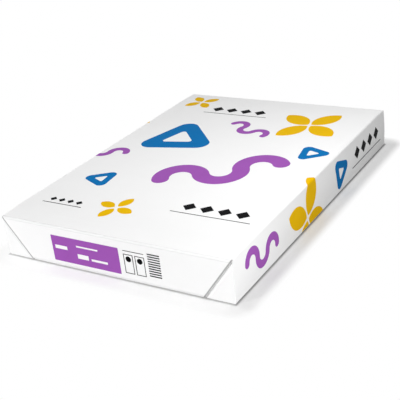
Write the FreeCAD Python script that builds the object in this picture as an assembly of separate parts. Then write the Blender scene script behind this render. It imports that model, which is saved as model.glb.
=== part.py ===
import FreeCAD, Part

import math
import os

from FreeCAD import Vector

# A sealed ream of A3 copier paper in a printed paper wrapper.
# Millimetres. X runs across the pack, Y along it, Z up. The origin is the centre of the underside.
# The end with the label faces -Y.

# The stack of sheets inside
sheet_width = 297.0
sheet_length = 420.0
sheet_count = 500
sheet_thickness = 0.1

# The wrapper round the stack
wrapper_thickness = 0.12
tuck_stand_off = 0.3
flap_step = 0.8
side_edge_radius = 1.8
end_edge_radius = 2.6
bottom_edge_radius = 1.5

# The top rolls down a little towards both ends, where the folded wrapper pulls on the stack
end_roll_run = 32.0
end_roll_drop = 1.3

# The folded ends: the top flap narrows from near the top corners to its free edge
flap_corner_drop = 2.4
flap_foot_inset = 34.0
flap_free_edge_height = 1.7

# Beside the flap's slanting edges the side tucks dip in under it
tuck_dip_width = 3.4
tuck_dip_depth = 1.0

# The glued lap under the pack
seam_offset = 62.0
seam_relief_width = 14.0

# Print
ink_thickness = 0.1
print_floor = 1.5

# Motifs
big_triangle_size = 66.0
big_triangle_stroke = 20.0
big_triangle_corner_radius = 15.0
big_triangle_inner_radius = 4.0
small_triangle_size = 28.0
small_triangle_stroke = 9.0
small_triangle_corner_radius = 7.0
small_triangle_inner_radius = 1.8
wave_humps = 3
big_wave_radius = 24.0
big_wave_stroke = 21.0
small_wave_radius = 11.0
small_wave_stroke = 9.0
big_petal_length = 48.0
big_petal_width = 27.0
small_petal_length = 23.0
small_petal_width = 13.0
petal_gap = 3.0
big_diamond_size = 17.0
big_diamond_pitch = 22.0
big_rule_length = 98.0
big_rule_drop = 15.0
small_diamond_size = 9.0
small_diamond_pitch = 12.5
small_rule_length = 56.0
small_rule_drop = 9.0
diamond_count = 4
rule_width = 1.1

# Where the motifs lie: their size, the face of the pack, their place across and along it, and their turn
# in degrees. The place across is from the middle of the top, or from the top's long edge down a side.
# The place along is from the middle of the pack, away from the label.
yellow_layout = (
    ("big", "top", 76.0, 132.0, 12.0),
    ("small", "top", -30.0, -152.0, 30.0),
    ("small", "top", -114.0, 178.0, 0.0),
    ("big", "right", 38.0, -40.0, 20.0),
    ("small", "left", 25.0, -72.0, 10.0),
    ("small", "left", 22.0, 88.0, 40.0),
)
purple_layout = (
    ("big", "top", 36.0, -32.0, 34.0),
    ("small", "top", 4.0, 98.0, -28.0),
    ("small", "right", 24.0, -150.0, 82.0),
    ("small", "left", -2.0, -20.0, 8.0),
)
blue_layout = (
    ("big", "top", -72.0, 48.0, 14.0),
    ("small", "top", -96.0, -92.0, -24.0),
    ("small", "top", 117.0, 48.0, 40.0),
    ("small", "right", 24.0, 58.0, 12.0),
    ("small", "left", 24.0, 160.0, 30.0),
)
black_layout = (
    ("big", "top", 82.0, -124.0, 0.0),
    ("big", "top", -42.0, 158.0, 0.0),
    ("small", "top", -98.0, -156.0, 0.0),
    ("big", "right", 20.0, 144.0, 90.0),
    ("big", "left", 20.0, -150.0, -90.0),
)

# The label on the front end
label_width = 91.0
label_height = 31.5
label_offset = -33.5
label_centre_height = 22.2
label_corner_radius = 0.8
label_bars = (
    # middle of the bar from the middle of the field, its length and its thickness
    (-33.0, 2.0, 17.0, 4.4),
    (3.0, 6.8, 29.0, 2.0),
    (-4.0, -5.2, 15.0, 5.6),
    (18.0, -6.6, 22.0, 2.8),
)

# The small marks beside the label: two boxes under a thin line, then a block of stripes
mark_gap = 6.0
mark_box_width = 12.0
mark_box_height = 23.0
mark_box_bottom = 9.5
mark_box_gap = 2.5
mark_line = 0.8
mark_disc_radius = 3.4
mark_disc_rise = 5.75
mark_caption_height = 36.4
stripe_gap = 4.5
stripe_count = 10
stripe_width = 15.0
stripe_block_height = 27.0
stripe_block_bottom = 11.5
stripe_thickness = 1.4

# Cutting bodies run this far past what they cut
margin = 3.0

pack_width = sheet_width + 2 * wrapper_thickness
pack_height = sheet_count * sheet_thickness + 2 * wrapper_thickness
pack_length = sheet_length + 2 * (tuck_stand_off + flap_step)

ACROSS = Vector(1, 0, 0)
ALONG = Vector(0, 1, 0)
UP = Vector(0, 0, 1)
TOLERANCE = 0.01


# Plane figures

def polygon(points):
    """Face through points given as (x, y) in the plane of the sheet."""
    corners = [Vector(x, y, 0) for x, y in points]
    return Part.Face(Part.makePolygon(corners + corners[:1]))


def rectangle(width, height):
    half_width = width / 2
    half_height = height / 2
    return polygon([
        (-half_width, -half_height),
        (half_width, -half_height),
        (half_width, half_height),
        (-half_width, half_height),
    ])


def disc(radius):
    return Part.Face(Part.Wire(Part.makeCircle(radius)))


def rounded_outline(corners, radius):
    """Wire through straight runs, with each corner rounded by a tangent arc."""
    edges = []
    tangents = []
    count = len(corners)
    for index in range(count):
        corner = corners[index]
        before = (corners[index - 1] - corner).normalize()
        after = (corners[(index + 1) % count] - corner).normalize()
        half_angle = before.getAngle(after) / 2
        reach = radius / math.tan(half_angle)
        towards_centre = (before + after).normalize()
        middle = corner + towards_centre * (radius / math.sin(half_angle) - radius)
        tangents.append((corner + before * reach, middle, corner + after * reach))
    for index in range(count):
        start, middle, end = tangents[index]
        edges.append(Part.Arc(start, middle, end).toShape())
        edges.append(Part.LineSegment(end, tangents[(index + 1) % count][0]).toShape())
    return Part.Wire(edges)


def triangle_corners(reach):
    """Corners of an even triangle, the first one straight up."""
    turns = [math.pi / 2 + 2 * math.pi * index / 3 for index in range(3)]
    return [Vector(reach * math.cos(turn), reach * math.sin(turn), 0) for turn in turns]


def triangle_band(size, stroke, outer_radius, inner_radius):
    """Rounded triangle with an open middle. A corner reaches twice as far as a side does."""
    inner_size = size - 2 * stroke
    outer = Part.Face(rounded_outline(triangle_corners(size), outer_radius))
    inner = Part.Face(rounded_outline(triangle_corners(inner_size), inner_radius))
    return outer.cut(inner).Faces


def half_circle(start_x, end_x, side):
    """Half circle over the x axis for side 1, under it for side -1."""
    middle_x = (start_x + end_x) / 2
    rise = side * abs(end_x - start_x) / 2
    return Part.Arc(Vector(start_x, 0, 0), Vector(middle_x, rise, 0), Vector(end_x, 0, 0)).toShape()


def wave_band(humps, radius, stroke):
    """Band of even width that swings up and down in half circles, with round ends."""
    half = stroke / 2
    start = -humps * radius
    crossings = [start + 2 * radius * index for index in range(humps + 1)]
    sides = [1 if index % 2 == 0 else -1 for index in range(humps)]
    edges = []
    for index in range(humps):
        side = sides[index]
        edges.append(half_circle(crossings[index] - side * half, crossings[index + 1] + side * half, side))
    last_side = sides[-1]
    edges.append(half_circle(crossings[-1] + last_side * half, crossings[-1] - last_side * half, -last_side))
    for index in reversed(range(humps)):
        side = sides[index]
        edges.append(half_circle(crossings[index + 1] - side * half, crossings[index] + side * half, side))
    edges.append(half_circle(crossings[0] + half, crossings[0] - half, -1))
    return [Part.Face(Part.Wire(edges))]


def petal(length, width):
    """Leaf of two arcs that starts beside the origin and points along +X."""
    start = Vector(petal_gap, 0, 0)
    end = Vector(petal_gap + length, 0, 0)
    middle_x = petal_gap + length / 2
    upper = Part.Arc(start, Vector(middle_x, width / 2, 0), end).toShape()
    lower = Part.Arc(end, Vector(middle_x, -width / 2, 0), start).toShape()
    return Part.Face(Part.Wire([upper, lower]))


def petal_cross(length, width):
    """Four leaves round an open centre."""
    leaves = []
    for quarter in range(4):
        leaf = petal(length, width)
        leaf.rotate(Vector(0, 0, 0), UP, 45 + 90 * quarter)
        leaves.append(leaf)
    return leaves


def diamond_row(size, pitch, rule_length, rule_drop):
    """Row of diamonds over a thin rule."""
    half = size / 2
    first = -pitch * (diamond_count - 1) / 2
    faces = []
    for index in range(diamond_count):
        diamond = polygon([(0, -half), (half, 0), (0, half), (-half, 0)])
        diamond.translate(ACROSS * (first + pitch * index))
        faces.append(diamond)
    rule = rectangle(rule_length, rule_width)
    rule.translate(ALONG * -rule_drop)
    faces.append(rule)
    return faces


def laid(faces, x, y, turn):
    """Figures turned about their middle and moved to a place on the sheet."""
    placed = []
    for face in faces:
        copy = face.copy()
        copy.rotate(Vector(0, 0, 0), UP, turn)
        copy.translate(Vector(x, y, 0))
        placed.append(copy)
    return placed


# The wrapped pack

def side_outline(length, height):
    """Outline seen from the long side: flat below, and rolling down to both ends on top."""
    half = length / 2
    flat = half - end_roll_run
    shoulder = height - end_roll_drop
    roll_radius = (end_roll_run**2 + end_roll_drop**2) / (2 * end_roll_drop)
    half_turn = math.asin(end_roll_run / roll_radius) / 2
    arc_y = flat + roll_radius * math.sin(half_turn)
    arc_z = height - roll_radius * (1 - math.cos(half_turn))
    front_low = Vector(0, -half, 0)
    back_low = Vector(0, half, 0)
    back_shoulder = Vector(0, half, shoulder)
    back_flat = Vector(0, flat, height)
    front_flat = Vector(0, -flat, height)
    front_shoulder = Vector(0, -half, shoulder)
    edges = [
        Part.LineSegment(front_low, back_low).toShape(),
        Part.LineSegment(back_low, back_shoulder).toShape(),
        Part.Arc(back_shoulder, Vector(0, arc_y, arc_z), back_flat).toShape(),
        Part.LineSegment(back_flat, front_flat).toShape(),
        Part.Arc(front_flat, Vector(0, -arc_y, arc_z), front_shoulder).toShape(),
        Part.LineSegment(front_shoulder, front_low).toShape(),
    ]
    return Part.Face(Part.Wire(edges))


def cross_edges(block, y, z):
    """The two edges that run across the block at one height, at its front and its back."""
    found = []
    for edge in block.Edges:
        centre = edge.CenterOfMass
        on_line = abs(abs(centre.y) - y) < TOLERANCE and abs(centre.z - z) < TOLERANCE
        if on_line and edge.BoundBox.XLength > margin:
            found.append(edge)
    return found


def side_edges(block, x):
    """All edges round both long sides."""
    found = []
    for edge in block.Edges:
        flat = edge.BoundBox.XLength < TOLERANCE
        if flat and abs(abs(edge.CenterOfMass.x) - x) < TOLERANCE:
            found.append(edge)
    return found


def wrapped_block(growth):
    """The pack before its ends are stepped, standing out by growth on all sides but the bottom."""
    width = pack_width + 2 * growth
    length = pack_length + 2 * growth
    height = pack_height + growth
    block = side_outline(length, height).extrude(ACROSS * width)
    block.translate(ACROSS * (-width / 2))
    block = block.makeFillet(bottom_edge_radius + growth, cross_edges(block, length / 2, 0))
    top_edges = cross_edges(block, length / 2, height - end_roll_drop)
    block = block.makeFillet(end_edge_radius + growth, top_edges)
    return block.makeFillet(side_edge_radius + growth, side_edges(block, width / 2))


def flap_edge():
    """Foot and rise of the top flap's right-hand slanting edge, which climbs to the side of the pack."""
    foot = pack_width / 2 - flap_foot_inset
    rise = pack_height - flap_corner_drop - flap_free_edge_height
    return foot, rise


def beside_flap(end):
    """What an end lacks beside and below its top flap, down to the side tucks."""
    foot, rise = flap_edge()
    outside = pack_width / 2 + margin
    outside_height = flap_free_edge_height + rise * (outside - foot) / flap_foot_inset
    corners = [
        Vector(-foot, 0, flap_free_edge_height),
        Vector(foot, 0, flap_free_edge_height),
        Vector(outside, 0, outside_height),
        Vector(outside, 0, -margin),
        Vector(-outside, 0, -margin),
        Vector(-outside, 0, outside_height),
    ]
    notch = Part.Face(Part.makePolygon(corners + corners[:1])).extrude(ALONG * end * (flap_step + margin))
    notch.translate(ALONG * end * (pack_length / 2 - flap_step))
    return notch


def tuck_dip(end, side):
    """Wedge out of one side tuck, deepest along the flap's slanting edge and running out beside it."""
    foot, rise = flap_edge()
    slant = Vector(side * flap_foot_inset, 0, rise).normalize()
    beside = Vector(side * slant.z, 0, -abs(slant.x))
    tuck_plane = end * (pack_length / 2 - flap_step)
    edge = Vector(side * foot, tuck_plane, flap_free_edge_height) - slant * margin
    corners = [
        edge + ALONG * end * margin,
        edge - ALONG * end * tuck_dip_depth,
        edge + beside * tuck_dip_width,
        edge + beside * tuck_dip_width + ALONG * end * margin,
    ]
    run = math.hypot(flap_foot_inset, rise) + 3 * margin
    return Part.Face(Part.makePolygon(corners + corners[:1])).extrude(slant * run)


def seam_relief():
    """Wedge under the pack, one wrapper thick at the lap's edge and running out to nothing."""
    corners = [
        Vector(seam_offset, 0, -margin),
        Vector(seam_offset, 0, wrapper_thickness),
        Vector(seam_offset + seam_relief_width, 0, 0),
        Vector(seam_offset + seam_relief_width, 0, -margin),
    ]
    wedge = Part.Face(Part.makePolygon(corners + corners[:1])).extrude(ALONG * (pack_length + 2 * margin))
    wedge.translate(ALONG * (-pack_length / 2 - margin))
    return wedge


def sealed_ream():
    """The stack in its wrapper, with a top flap folded down over the side tucks at each end."""
    cuts = [seam_relief()]
    for end in (-1, 1):
        cuts.append(beside_flap(end))
        for side in (-1, 1):
            cuts.append(tuck_dip(end, side))
    return wrapped_block(0).cut(cuts)


# Print, laid out on the flat sheet and folded down over the long edges

def fold_line():
    """Where the flat sheet's print turns down, so that it meets in the middle of the rounding."""
    lost = 2 * side_edge_radius * (1 - math.sqrt(0.5))
    return pack_width / 2 - lost


def zone(corners):
    """Part of the space round the pack, given as (x, z) corners and running its whole length."""
    points = [Vector(x, 0, z) for x, z in corners]
    prism = Part.Face(Part.makePolygon(points + points[:1])).extrude(ALONG * (pack_length + 2 * margin))
    prism.translate(ALONG * (-pack_length / 2 - margin))
    return prism


def top_zone():
    half = pack_width / 2
    depth = pack_height / 2
    return zone([
        (-half - margin, pack_height + margin),
        (-half + depth, pack_height - depth),
        (half - depth, pack_height - depth),
        (half + margin, pack_height + margin),
    ])


def side_zone(side):
    half = pack_width / 2
    depth = pack_height / 2
    return zone([
        (side * (half + margin), pack_height + margin),
        (side * (half - depth), pack_height - depth),
        (side * (half - depth), print_floor),
        (side * (half + margin), print_floor),
    ])


def reaches_side(face, side):
    """Whether a figure on the flat sheet comes to the long edge on one side."""
    box = face.BoundBox
    edge = fold_line() - side_edge_radius
    return box.XMax > edge if side > 0 else box.XMin < -edge


def folded_down(face, side):
    """A figure of the flat sheet, turned a quarter about the long edge on one side."""
    turned = face.copy()
    turned.translate(UP * pack_height)
    turned.rotate(Vector(side * fold_line(), 0, pack_height), ALONG, side * 90)
    return turned


def sheet_print(faces, skin):
    """Ink solids of figures on the flat sheet, over the top and down both long sides."""
    upright = [face.extrude(UP * (pack_height + margin)) for face in faces]
    solids = skin.common(top_zone()).common(Part.makeCompound(upright)).Solids
    reach = side_edge_radius + margin
    for side in (-1, 1):
        sideways = []
        for face in faces:
            if reaches_side(face, side):
                turned = folded_down(face, side)
                turned.translate(ACROSS * -reach)
                sideways.append(turned.extrude(ACROSS * 2 * reach))
        if sideways:
            solids += skin.common(side_zone(side)).common(Part.makeCompound(sideways)).Solids
    return solids


def end_print(faces, skin):
    """Ink solids of figures on the front end, drawn with x across and y as the height."""
    prisms = []
    for face in faces:
        turned = face.copy()
        turned.rotate(Vector(0, 0, 0), ACROSS, 90)
        turned.translate(ALONG * (flap_step - pack_length / 2))
        prisms.append(turned.extrude(ALONG * -(flap_step + margin)))
    return skin.common(Part.makeCompound(prisms)).Solids


def joined(solids):
    """Ink solids, those that meet along an edge fused into one."""
    whole = solids[0].fuse(solids[1:]).removeSplitter()
    return Part.makeCompound(whole.Solids)


# Motifs of each ink

def place_across(face, across):
    """Place across the flat sheet of a motif on the top or on a side of the pack."""
    if face == "top":
        return across
    from_middle = pack_width / 2 + across
    return from_middle if face == "right" else -from_middle


def laid_out(figures, layout):
    """All motifs of one ink, each at its place on the flat sheet."""
    placed = []
    for size, face, across, along, turn in layout:
        placed += laid(figures[size], place_across(face, across), along, turn)
    return placed


def yellow_figures():
    figures = {
        "big": petal_cross(big_petal_length, big_petal_width),
        "small": petal_cross(small_petal_length, small_petal_width),
    }
    return laid_out(figures, yellow_layout)


def purple_figures():
    figures = {
        "big": wave_band(wave_humps, big_wave_radius, big_wave_stroke),
        "small": wave_band(wave_humps, small_wave_radius, small_wave_stroke),
    }
    return laid_out(figures, purple_layout)


def blue_figures():
    figures = {
        "big": triangle_band(
            big_triangle_size, big_triangle_stroke, big_triangle_corner_radius, big_triangle_inner_radius
        ),
        "small": triangle_band(
            small_triangle_size, small_triangle_stroke, small_triangle_corner_radius, small_triangle_inner_radius
        ),
    }
    return laid_out(figures, blue_layout)


def black_figures():
    figures = {
        "big": diamond_row(big_diamond_size, big_diamond_pitch, big_rule_length, big_rule_drop),
        "small": diamond_row(small_diamond_size, small_diamond_pitch, small_rule_length, small_rule_drop),
    }
    return laid_out(figures, black_layout)


# The label on the front end

def label_field():
    """Colour field with plain bars left open in it, where the wrapper shows."""
    half_width = label_width / 2
    half_height = label_height / 2
    corners = [
        Vector(-half_width, -half_height, 0),
        Vector(half_width, -half_height, 0),
        Vector(half_width, half_height, 0),
        Vector(-half_width, half_height, 0),
    ]
    field = Part.Face(rounded_outline(corners, label_corner_radius))
    for x, y, length, thickness in label_bars:
        bar = rectangle(length, thickness)
        bar.translate(Vector(x, y, 0))
        field = field.cut(bar)
    return laid(field.Faces, label_offset, label_centre_height, 0)


def mark_box():
    """Thin-lined box with a plain disc in it."""
    outer = rectangle(mark_box_width, mark_box_height)
    inner = rectangle(mark_box_width - 2 * mark_line, mark_box_height - 2 * mark_line)
    dot = disc(mark_disc_radius)
    dot.translate(ALONG * mark_disc_rise)
    return outer.cut(inner).Faces + [dot]


def stripe_block():
    """Evenly spaced stripes."""
    pitch = (stripe_block_height - stripe_thickness) / (stripe_count - 1)
    lowest = (stripe_thickness - stripe_block_height) / 2
    stripes = []
    for index in range(stripe_count):
        stripe = rectangle(stripe_width, stripe_thickness)
        stripe.translate(ALONG * (lowest + pitch * index))
        stripes.append(stripe)
    return stripes


def label_marks():
    """Two boxes under a thin line, and a block of stripes, beside the colour field."""
    first_x = label_offset + label_width / 2 + mark_gap + mark_box_width / 2
    second_x = first_x + mark_box_width + mark_box_gap
    block_x = second_x + mark_box_width / 2 + stripe_gap + stripe_width / 2
    box_height = mark_box_bottom + mark_box_height / 2
    block_height = stripe_block_bottom + stripe_block_height / 2
    line = rectangle(2 * mark_box_width + mark_box_gap, mark_line)
    return (
        laid(mark_box(), first_x, box_height, 0)
        + laid(mark_box(), second_x, box_height, 0)
        + laid([line], (first_x + second_x) / 2, mark_caption_height, 0)
        + laid(stripe_block(), block_x, block_height, 0)
    )


def write(shape, name):
    shape.exportStep("parts/" + name + ".step")


def main():
    os.makedirs("parts", exist_ok=True)
    ream = sealed_ream()
    skin = wrapped_block(ink_thickness).cut(ream)
    write(ream, "sealed_ream")
    write(joined(sheet_print(yellow_figures(), skin)), "yellow_print")
    write(joined(sheet_print(purple_figures(), skin) + end_print(label_field(), skin)), "purple_print")
    write(joined(sheet_print(blue_figures(), skin)), "blue_print")
    write(joined(sheet_print(black_figures(), skin) + end_print(label_marks(), skin)), "black_print")


main()
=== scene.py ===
import math

import bmesh
import bpy
from mathutils import Matrix, Vector, noise


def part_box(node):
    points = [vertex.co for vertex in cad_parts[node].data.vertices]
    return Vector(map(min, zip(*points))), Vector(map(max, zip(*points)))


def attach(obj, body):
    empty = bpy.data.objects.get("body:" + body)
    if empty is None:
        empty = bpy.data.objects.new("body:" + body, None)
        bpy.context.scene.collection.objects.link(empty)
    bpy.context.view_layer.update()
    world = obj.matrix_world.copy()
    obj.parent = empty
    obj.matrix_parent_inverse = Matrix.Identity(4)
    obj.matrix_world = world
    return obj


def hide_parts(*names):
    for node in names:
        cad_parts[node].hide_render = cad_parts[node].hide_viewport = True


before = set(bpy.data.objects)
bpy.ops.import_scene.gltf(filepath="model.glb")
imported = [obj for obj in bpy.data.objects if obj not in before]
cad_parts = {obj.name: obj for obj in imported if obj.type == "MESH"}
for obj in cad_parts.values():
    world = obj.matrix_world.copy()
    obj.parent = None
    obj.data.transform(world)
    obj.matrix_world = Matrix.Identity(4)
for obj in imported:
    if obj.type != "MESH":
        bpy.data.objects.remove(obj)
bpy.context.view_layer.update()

# A sealed ream of copier paper, dressed. Metres, in the same frame as the solids.
mm = 0.001

# The camera, round the middle of the pack. Angles in degrees, lens and sensor in millimetres.
camera_azimuth = 33.8
camera_elevation = 25.4
camera_roll = -7.0
camera_distance = 1040.0 * mm
camera_aside = -12.7 * mm
camera_lower = -29.3 * mm
camera_lens = 75.5
sensor_width = 36.0
nearest_seen = 10.0 * mm

# The wrapper's fine mesh
cell = 3.0 * mm
flat_angle = math.radians(0.6)
sharp_angle = math.radians(38)
weld_distance = 0.002 * mm

# How the wrapper gives: how far, over what distance, and how even that is, from 0 to 1
edge_band = 5.0 * mm
settle_band = 4 * edge_band
top_settle = 0.35 * mm
top_wave = 95.0 * mm
top_evenness = 0.5
side_bulge = 0.8 * mm
flap_hollow = 0.35 * mm
side_wave = 60.0 * mm
side_evenness = 0.7
edge_wander = 0.14 * mm
edge_wave = 70.0 * mm

# What sets one noise apart from another
top_seed = 3.1
side_seed = 7.7
flap_seed = 1.3
wander_seeds = (11.0, 23.0, 37.0)

# The slanting edges of the end flaps, and the painted shade line in the crease along them
flap_drop = 2.4 * mm
flap_lift = 1.7 * mm
flap_inset = 34.0 * mm
crease_middle = -1.0 * mm
crease_width = 1.4 * mm
crease_reach = 2.2 * mm
crease_shade_level = 0.35

# Painted shade along the folds at the tops of both ends, which dims their highlight
fold_from = -2.9 * mm
fold_to = -2.3 * mm
fold_shade_level = 0.85

# Colours, as reflected
paper_white = (0.885, 0.885, 0.885)
ink_colours = {
    "yellow": (0.81, 0.48, 0.002),
    "purple": (0.335, 0.096, 0.43),
    "blue": (0.001, 0.16, 0.44),
    "black": (0.005, 0.005, 0.006),
}

# Finish: how far the colour clouds over, the lowest and highest roughness, and the level of gloss
paper_finish = {"mottle": 0.012, "roughness": (0.40, 0.50), "gloss": 0.18}
ink_finish = {"mottle": 0.05, "roughness": (0.36, 0.46), "gloss": 0.01}

# Noises of the paper's surface: scale, detail and roughness. Most of each lies in the span.
cloud_noise = (38.0, 4.0, 0.55)
fibre_noise = (2400.0, 3.0, 0.6)
grain_noise = (520.0, 2.0, 0.5)
noise_span = (0.3, 0.7)

# Relief of fibres and grain: strength and height
fibre_relief = (0.35, 0.02 * mm)
grain_relief = (0.3, 0.05 * mm)

# The floor, which fades to white away from the pack and darkens where they meet, by its real shadow and a
# painted contact shade
floor_size = 8.0
floor_drop = 0.1 * mm
floor_grey = 0.6
floor_lift = 0.415
white_from = 12.0 * mm
white_to = 26.0 * mm
contact_shade_reach = 3.2 * mm

# Light: a key from the left, which throws the shadow to the right, a wide front lamp, two near lamps
# over the right and beside the front right corner, where the pack is brightest, a weak one low behind
# the far end, and an even surround
world_level = 0.34
lamps = (
    # name, place, aim, size, spread in degrees, watts, whether it lights the floor too
    ("key", (-1.15, -0.1, 1.9), (0.15, -0.2, 0), 0.5, 60, 1.36, True),
    ("front", (-1.0, -1.6, 0.5), (0, 0, 0), 0.8, 180, 24.0, True),
    ("over_right", (0.35, 0.0, 0.5), (0.1, 0.0, 0), 0.35, 100, 0.48, False),
    ("beside_corner", (0.4, -0.3, 0.1), (0.148, -0.19, 0.03), 0.25, 140, 0.38, False),
    ("behind", (0, 1.5, 0.02), (0, 0.2, 0.02), 0.1, 60, 0.9, False),
)

low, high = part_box("sealed_ream")
half_width = high.x
half_length = high.y
height = high.z
middle = Vector((0, 0, height / 2))


# Camera

def camera_axes():
    azimuth = math.radians(camera_azimuth)
    elevation = math.radians(camera_elevation)
    back = Vector((
        math.sin(azimuth) * math.cos(elevation),
        -math.cos(azimuth) * math.cos(elevation),
        math.sin(elevation),
    ))
    level_right = Vector((0, 0, 1)).cross(back).normalized()
    level_up = back.cross(level_right)
    roll = math.radians(camera_roll)
    right = level_right * math.cos(roll) + level_up * math.sin(roll)
    up = level_up * math.cos(roll) - level_right * math.sin(roll)
    return right, up, back


def make_camera():
    right, up, back = camera_axes()
    data = bpy.data.cameras.new("camera")
    data.lens = camera_lens
    data.sensor_width = sensor_width
    data.sensor_fit = "HORIZONTAL"
    data.clip_start = nearest_seen
    camera = bpy.data.objects.new("camera", data)
    place = middle + back * camera_distance + right * camera_aside + up * camera_lower
    camera.matrix_world = Matrix((
        (right.x, up.x, back.x, place.x),
        (right.y, up.y, back.y, place.y),
        (right.z, up.z, back.z, place.z),
        (0, 0, 0, 1),
    ))
    bpy.context.scene.collection.objects.link(camera)
    bpy.context.scene.camera = camera


# Shapes

def rise(value, start, end):
    """0 up to start, 1 from end on, and a soft step between."""
    t = min(max((value - start) / (end - start), 0), 1)
    return t * t * (3 - 2 * t)


def bulge(value, half_span):
    """1 in the middle of a span, falling softly to 0 at both ends."""
    t = min(abs(value) / half_span, 1)
    return (1 - t * t) ** 2


def wander(point, wave, seed):
    """Smooth noise between -1 and 1."""
    return noise.noise(point / wave + Vector((seed, -seed, seed * 0.5)))


def uneven(point, wave, seed, evenness):
    """Smooth noise round a mean, which it leaves the less the more even it is."""
    return evenness + (1 - evenness) * wander(point, wave, seed)


def softened(point):
    """Where a point of the wrapper or its print lies once the paper has settled on the stack."""
    x, y, z = point
    on_top = rise(z, height - edge_band, height)
    on_side = rise(abs(x), half_width - edge_band, half_width)
    on_end = rise(abs(y), half_length - edge_band, half_length)
    off_side = rise(half_width - abs(x), 0, settle_band)
    off_end = rise(half_length - abs(y), 0, settle_band)
    up_side = bulge(z - height / 2, height / 2)
    settle = top_settle * uneven(Vector((x, y, 0)), top_wave, top_seed, top_evenness)
    swell = side_bulge * uneven(Vector((0, y, z)), side_wave, side_seed, side_evenness)
    hollow = flap_hollow * uneven(Vector((x, 0, z)), side_wave, flap_seed, side_evenness)
    move = Vector((
        math.copysign(swell * on_side * up_side, x),
        -math.copysign(hollow * on_end * up_side * bulge(x, half_width), y),
        -settle * on_top * off_side * off_end,
    ))
    drift = Vector([wander(point, edge_wave, seed) for seed in wander_seeds])
    drift.z *= rise(z, 0, edge_band)
    return point + move + drift * edge_wander


def grid_cuts(lowest, highest):
    first = math.ceil(lowest / cell)
    last = math.floor(highest / cell)
    return [index * cell for index in range(first, last + 1)]


def cut_into_cells(work, node):
    """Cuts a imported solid's mesh into cells along all three axes."""
    node_low, node_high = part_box(node)
    for axis in range(3):
        normal = [0, 0, 0]
        normal[axis] = 1
        for cut in grid_cuts(node_low[axis], node_high[axis]):
            place = [0, 0, 0]
            place[axis] = cut
            everything = work.verts[:] + work.edges[:] + work.faces[:]
            bmesh.ops.bisect_plane(
                work, geom=everything, dist=weld_distance, plane_co=place, plane_no=normal
            )


def refined(node, name):
    """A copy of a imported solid, cut into cells and softened."""
    work = bmesh.new()
    work.from_mesh(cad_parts[node].data)
    bmesh.ops.remove_doubles(work, verts=work.verts, dist=weld_distance)
    bmesh.ops.dissolve_limit(work, angle_limit=flat_angle, verts=work.verts, edges=work.edges)
    cut_into_cells(work, node)
    for vertex in work.verts:
        vertex.co = softened(vertex.co)
    bmesh.ops.recalc_face_normals(work, faces=work.faces)
    mesh = bpy.data.meshes.new(name)
    work.to_mesh(mesh)
    work.free()
    mesh.shade_smooth()
    mesh.set_sharp_from_angle(angle=sharp_angle)
    piece = bpy.data.objects.new(name, mesh)
    bpy.context.scene.collection.objects.link(piece)
    normals = piece.modifiers.new("even normals", "WEIGHTED_NORMAL")
    normals.keep_sharp = True
    return piece


# Shader nodes

def add(tree, kind, inputs, **settings):
    """A new node, with its settings made and each given input linked to a socket or set to a value."""
    node = tree.nodes.new("ShaderNode" + kind)
    for setting, value in settings.items():
        setattr(node, setting, value)
    for slot, value in inputs.items():
        if isinstance(value, bpy.types.NodeSocket):
            tree.links.new(value, node.inputs[slot])
        else:
            node.inputs[slot].default_value = value
    return node


def number(tree, operation, *values):
    """A number worked out from numbers."""
    node = add(tree, "Math", dict(enumerate(values)), operation=operation)
    return node.outputs["Value"]


def vector(tree, operation, *values):
    """A vector worked out from vectors."""
    node = add(tree, "VectorMath", dict(enumerate(values)), operation=operation)
    return node.outputs["Vector"]


def measure(tree, operation, *values):
    """A number worked out from vectors."""
    node = add(tree, "VectorMath", dict(enumerate(values)), operation=operation)
    return node.outputs["Value"]


def mapped(tree, value, source, target, steps="LINEAR"):
    """A number carried from one range onto another, whose ends it keeps to."""
    inputs = {
        "Value": value,
        "From Min": source[0],
        "From Max": source[1],
        "To Min": target[0],
        "To Max": target[1],
    }
    return add(tree, "MapRange", inputs, interpolation_type=steps).outputs["Result"]


def empty_tree(owner):
    """The node tree of a material or world, cleared."""
    owner.use_nodes = True
    owner.node_tree.nodes.clear()
    return owner.node_tree


# Materials

def painted_crease_shade(tree, place):
    """Painted shade, below 1 along the slanting edges of the end flaps, where little light gets in."""
    folded = vector(tree, "ABSOLUTE", place)
    from_corner = vector(tree, "SUBTRACT", folded, (half_width, 0, height - flap_drop))
    outward = Vector((height - flap_drop - flap_lift, 0, -flap_inset)).normalized()
    beside = measure(tree, "DOT_PRODUCT", from_corner, outward)
    off_middle = number(tree, "ABSOLUTE", number(tree, "SUBTRACT", beside, crease_middle))
    off_line = mapped(tree, off_middle, (0, crease_width), (0, 1), "SMOOTHSTEP")
    along = add(tree, "SeparateXYZ", {"Vector": folded}).outputs["Y"]
    off_end = mapped(tree, along, (half_length - 2 * crease_reach, half_length - crease_reach), (1, 0))
    off = number(tree, "MAXIMUM", off_line, off_end)
    return mapped(tree, off, (0, 1), (crease_shade_level, 1))


def painted_fold_shade(tree, place):
    """Painted shade, a little below 1 along the folds at the tops of both ends, which dims their highlight.
    """
    folded = vector(tree, "ABSOLUTE", place)
    from_edge = vector(tree, "SUBTRACT", folded, (0, half_length, height))
    outward = measure(tree, "DOT_PRODUCT", from_edge, Vector((0, 1, 1)).normalized())
    return mapped(tree, outward, (fold_from, fold_to), (1, fold_shade_level), "SMOOTHSTEP")


def noise_in(tree, place, scale, detail, roughness):
    inputs = {"Vector": place, "Scale": scale, "Detail": detail, "Roughness": roughness}
    return add(tree, "TexNoise", inputs).outputs["Fac"]


def relief(tree, surface, strength, distance, **below):
    """Normal of a surface raised by a noise, over a coarser or finer relief if one is given."""
    inputs = {"Height": surface, "Strength": strength, "Distance": distance, **below}
    return add(tree, "Bump", inputs).outputs["Normal"]


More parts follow.
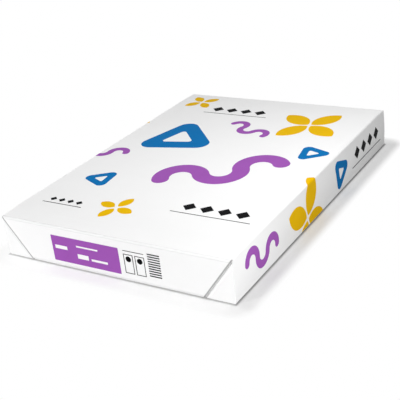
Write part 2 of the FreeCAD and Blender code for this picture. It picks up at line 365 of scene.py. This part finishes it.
def coated_paper(name, colour, mottle, roughness, gloss, with_painted_shade=False):
    """Smooth coated paper: a fine fibre surface under a satin coat, with faint cloudiness in its colour."""
    material = bpy.data.materials.new(name)
    tree = empty_tree(material)
    place = add(tree, "TexCoord", {}).outputs["Object"]
    cloud = noise_in(tree, place, *cloud_noise)
    fibre = noise_in(tree, place, *fibre_noise)
    grain = noise_in(tree, place, *grain_noise)
    shade = mapped(tree, cloud, noise_span, (1 - mottle, 1))
    # Painted shade: darker in the creases under the flap edges and along the bright folds at the ends
    if with_painted_shade:
        shade = number(tree, "MULTIPLY", shade, painted_crease_shade(tree, place))
        shade = number(tree, "MULTIPLY", shade, painted_fold_shade(tree, place))
    tint = add(tree, "Mix", {"Factor": 1}, data_type="RGBA", blend_type="MULTIPLY")
    first, second = [socket for socket in tint.inputs if socket.enabled and socket.type == "RGBA"]
    first.default_value = (*colour, 1)
    tree.links.new(shade, second)
    tinted = [socket for socket in tint.outputs if socket.enabled][0]
    fine = relief(tree, fibre, *fibre_relief)
    shader = add(tree, "BsdfPrincipled", {
        "Base Color": tinted,
        "Roughness": mapped(tree, grain, noise_span, roughness),
        "Specular IOR Level": gloss,
        "Normal": relief(tree, grain, *grain_relief, Normal=fine),
    })
    add(tree, "OutputMaterial", {"Surface": shader.outputs["BSDF"]})
    return material


# The pack

def dress(node, name, material):
    piece = refined(node, name)
    piece.data.materials.append(material)
    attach(piece, "root")
    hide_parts(node)
    return piece


def make_pack():
    """All pieces of the pack, as a collection that a lamp can be kept to."""
    # The wrapper carries painted shade in its creases and along its folds
    wrapper = coated_paper("wrapper", paper_white, **paper_finish, with_painted_shade=True)
    pieces = [dress("sealed_ream", "wrapped_pack", wrapper)]
    for ink, colour in ink_colours.items():
        material = coated_paper(ink, colour, **ink_finish)
        pieces.append(dress(ink + "_print", ink + "_motifs", material))
    pack = bpy.data.collections.new("pack")
    for piece in pieces:
        pack.objects.link(piece)
    return pack


# Surroundings

def in_view(tree):
    """1 for what the camera sees straight, in a reflection or through something."""
    path = add(tree, "LightPath", {})
    direct = number(tree, "MAXIMUM", path.outputs["Is Camera Ray"], path.outputs["Is Glossy Ray"])
    return number(tree, "MAXIMUM", direct, path.outputs["Is Transmission Ray"])


def from_footprint(tree):
    """Distance of a point of the floor from the pack's outline on it."""
    place = add(tree, "NewGeometry", {}).outputs["Position"]
    folded = vector(tree, "ABSOLUTE", place)
    beyond = vector(tree, "SUBTRACT", folded, (half_width, half_length, height))
    outside = vector(tree, "MAXIMUM", beyond, (0, 0, 0))
    return measure(tree, "LENGTH", outside)


def floor_material():
    """Grey that is lifted in the camera's view, up to white a little way from the pack; the lift falls away
    towards the pack, a painted contact shade.
    """
    material = bpy.data.materials.new("floor")
    tree = empty_tree(material)
    seen = in_view(tree)
    distance = from_footprint(tree)
    # Painted contact shade: the lift falls to nothing at the pack's outline
    lift = mapped(tree, distance, (0, contact_shade_reach), (0, floor_lift), "SMOOTHSTEP")
    away = mapped(tree, distance, (white_from, white_to), (0, 1), "SMOOTHSTEP")
    plain = add(tree, "BsdfDiffuse", {"Color": (floor_grey, floor_grey, floor_grey, 1)})
    lifted = add(tree, "Emission", {"Strength": number(tree, "MULTIPLY", seen, lift)})
    near = add(tree, "AddShader", {0: plain.outputs["BSDF"], 1: lifted.outputs["Emission"]})
    white = add(tree, "Emission", {"Strength": 1})
    whole = add(tree, "MixShader", {
        0: number(tree, "MULTIPLY", seen, away),
        1: near.outputs["Shader"],
        2: white.outputs["Emission"],
    })
    add(tree, "OutputMaterial", {"Surface": whole.outputs["Shader"]})
    return material


def make_floor():
    half = floor_size / 2
    corners = [(x, y, -floor_drop) for x, y in ((-half, -half), (half, -half), (half, half), (-half, half))]
    mesh = bpy.data.meshes.new("floor")
    mesh.from_pydata(corners, [], [(0, 1, 2, 3)])
    mesh.materials.append(floor_material())
    floor = bpy.data.objects.new("floor", mesh)
    bpy.context.scene.collection.objects.link(floor)


def make_world():
    world = bpy.data.worlds.new("studio")
    bpy.context.scene.world = world
    tree = empty_tree(world)
    strength = mapped(tree, in_view(tree), (0, 1), (world_level, 1))
    background = add(tree, "Background", {"Color": (1, 1, 1, 1), "Strength": strength})
    add(tree, "OutputWorld", {"Surface": background.outputs["Background"]})


def make_lamp(pack, name, place, aim, size, spread, watts, on_floor):
    data = bpy.data.lights.new(name, "AREA")
    data.shape = "DISK"
    data.size = size
    data.spread = math.radians(spread)
    data.energy = watts
    lamp = bpy.data.objects.new(name, data)
    direction = Vector(place) - Vector(aim)
    turn = direction.to_track_quat("Z", "Y").to_matrix().to_4x4()
    lamp.matrix_world = Matrix.Translation(place) @ turn
    bpy.context.scene.collection.objects.link(lamp)
    if not on_floor:
        lamp.light_linking.receiver_collection = pack


make_camera()
pack = make_pack()
make_floor()
make_world()
for lamp in lamps:
    make_lamp(pack, *lamp)

bpy.context.scene.view_settings.view_transform = "Standard"
